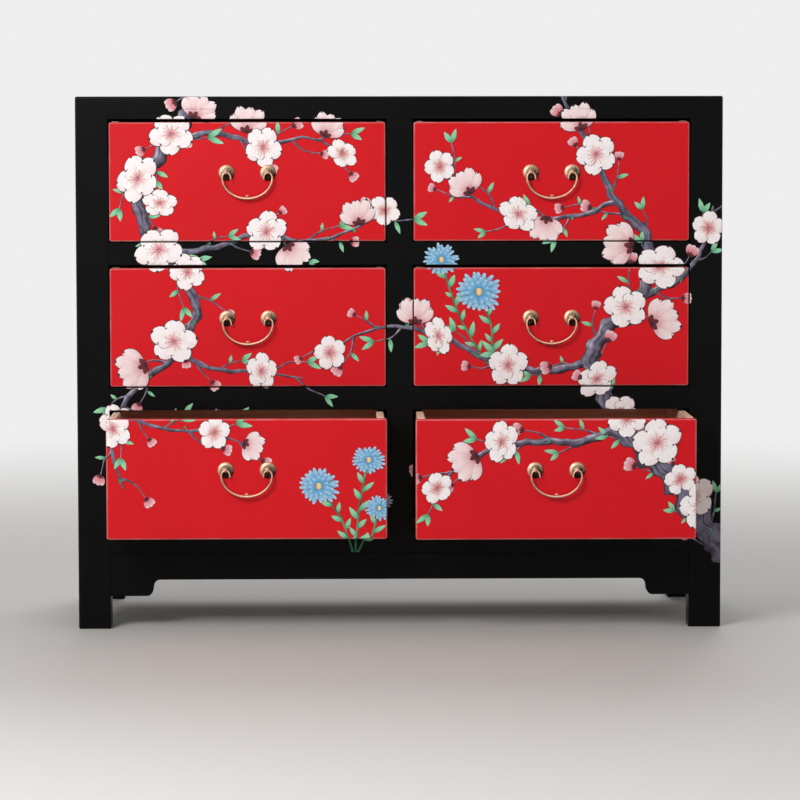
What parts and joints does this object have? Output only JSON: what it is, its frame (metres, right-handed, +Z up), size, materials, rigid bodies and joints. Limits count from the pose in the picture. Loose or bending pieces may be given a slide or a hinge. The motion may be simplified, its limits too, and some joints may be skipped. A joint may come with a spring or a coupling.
{
  "type": "chest of drawers",
  "caption": "Lacquered chest with two columns of inset drawers on corner-post legs, brass bail pulls on rosettes, and a face frame over ogee-cut aprons.",
  "frame": {"origin": "on the floor, in the middle of the ground that the chest covers with its two lower drawers drawn out as pictured", "axes": "+X to the viewer's right along the front, -Y out of the front, +Z up"},
  "size_m": [1, 0.545, 0.826],
  "materials": {
    "black_lacquer": "black lacquer with a soft gloss over wood",
    "red_lacquer": "red lacquer with a soft gloss over wood, painted with sprays of blossom",
    "drawer_wood": "pale bare softwood, planed",
    "case_wood": "plain brown stained wood",
    "brass": "antiqued brass, polished on the high spots"
  },
  "bodies": {
    "carcass": {"front_left_post": "black_lacquer", "front_right_post": "black_lacquer", "rear_left_post": "black_lacquer", "rear_right_post": "black_lacquer", "bottom_rail": "black_lacquer", "lower_rail": "black_lacquer", "upper_rail": "black_lacquer", "top_rail": "black_lacquer", "lower_stile": "black_lacquer", "middle_stile": "black_lacquer", "upper_stile": "black_lacquer", "front_apron": "black_lacquer", "left_apron": "black_lacquer", "right_apron": "black_lacquer", "top_board": "black_lacquer", "left_panel": "black_lacquer", "right_panel": "black_lacquer", "back_panel": "black_lacquer", "lower_drawer_board": "case_wood", "lower_partition": "case_wood", "middle_drawer_board": "case_wood", "middle_partition": "case_wood", "upper_drawer_board": "case_wood", "upper_partition": "case_wood"},
    "lower_left_drawer": {"lower_left_drawer_front": "red_lacquer", "lower_left_drawer_box": "drawer_wood", "lower_left_drawer_bottom": "drawer_wood", "lower_left_rosette_left": "brass", "lower_left_rosette_right": "brass"},
    "lower_left_bail": {"lower_left_bail": "brass"},
    "lower_right_drawer": {"lower_right_drawer_front": "red_lacquer", "lower_right_drawer_box": "drawer_wood", "lower_right_drawer_bottom": "drawer_wood", "lower_right_rosette_left": "brass", "lower_right_rosette_right": "brass"},
    "lower_right_bail": {"lower_right_bail": "brass"},
    "middle_left_drawer": {"middle_left_drawer_front": "red_lacquer", "middle_left_drawer_box": "drawer_wood", "middle_left_drawer_bottom": "drawer_wood", "middle_left_rosette_left": "brass", "middle_left_rosette_right": "brass"},
    "middle_left_bail": {"middle_left_bail": "brass"},
    "middle_right_drawer": {"middle_right_drawer_front": "red_lacquer", "middle_right_drawer_box": "drawer_wood", "middle_right_drawer_bottom": "drawer_wood", "middle_right_rosette_left": "brass", "middle_right_rosette_right": "brass"},
    "middle_right_bail": {"middle_right_bail": "brass"},
    "upper_left_drawer": {"upper_left_drawer_front": "red_lacquer", "upper_left_drawer_box": "drawer_wood", "upper_left_drawer_bottom": "drawer_wood", "upper_left_rosette_left": "brass", "upper_left_rosette_right": "brass"},
    "upper_left_bail": {"upper_left_bail": "brass"},
    "upper_right_drawer": {"upper_right_drawer_front": "red_lacquer", "upper_right_drawer_box": "drawer_wood", "upper_right_drawer_bottom": "drawer_wood", "upper_right_rosette_left": "brass", "upper_right_rosette_right": "brass"},
    "upper_right_bail": {"upper_right_bail": "brass"}
  },
  "joints": [
    {"name": "lower_left_drawer_slide", "type": "slide", "parent": "carcass", "child": "lower_left_drawer", "axis": [0, -1, 0], "range_m": [-0.115, 0.135]},
    {"name": "lower_left_bail_hinge", "type": "hinge", "parent": "lower_left_drawer", "child": "lower_left_bail", "pos_m": [-0.235, -0.25265, 0.2585], "axis": [-1, 0, 0], "range_deg": [-9, 85]},
    {"name": "lower_right_drawer_slide", "type": "slide", "parent": "carcass", "child": "lower_right_drawer", "axis": [0, -1, 0], "range_m": [-0.13, 0.12]},
    {"name": "lower_right_bail_hinge", "type": "hinge", "parent": "lower_right_drawer", "child": "lower_right_bail", "pos_m": [0.235, -0.26765, 0.2585], "axis": [-1, 0, 0], "range_deg": [-9, 85]},
    {"name": "middle_left_drawer_slide", "type": "slide", "parent": "carcass", "child": "middle_left_drawer", "axis": [0, -1, 0], "range_m": [0, 0.25]},
    {"name": "middle_left_bail_hinge", "type": "hinge", "parent": "middle_left_drawer", "child": "middle_left_bail", "pos_m": [-0.235, -0.13765, 0.4835], "axis": [-1, 0, 0], "range_deg": [-9, 85]},
    {"name": "middle_right_drawer_slide", "type": "slide", "parent": "carcass", "child": "middle_right_drawer", "axis": [0, -1, 0], "range_m": [0, 0.25]},
    {"name": "middle_right_bail_hinge", "type": "hinge", "parent": "middle_right_drawer", "child": "middle_right_bail", "pos_m": [0.235, -0.13765, 0.4835], "axis": [-1, 0, 0], "range_deg": [-9, 85]},
    {"name": "upper_left_drawer_slide", "type": "slide", "parent": "carcass", "child": "upper_left_drawer", "axis": [0, -1, 0], "range_m": [0, 0.25]},
    {"name": "upper_left_bail_hinge", "type": "hinge", "parent": "upper_left_drawer", "child": "upper_left_bail", "pos_m": [-0.235, -0.13765, 0.7085], "axis": [-1, 0, 0], "range_deg": [-9, 85]},
    {"name": "upper_right_drawer_slide", "type": "slide", "parent": "carcass", "child": "upper_right_drawer", "axis": [0, -1, 0], "range_m": [0, 0.25]},
    {"name": "upper_right_bail_hinge", "type": "hinge", "parent": "upper_right_drawer", "child": "upper_right_bail", "pos_m": [0.235, -0.13765, 0.7085], "axis": [-1, 0, 0], "range_deg": [-9, 85]}
  ]
}
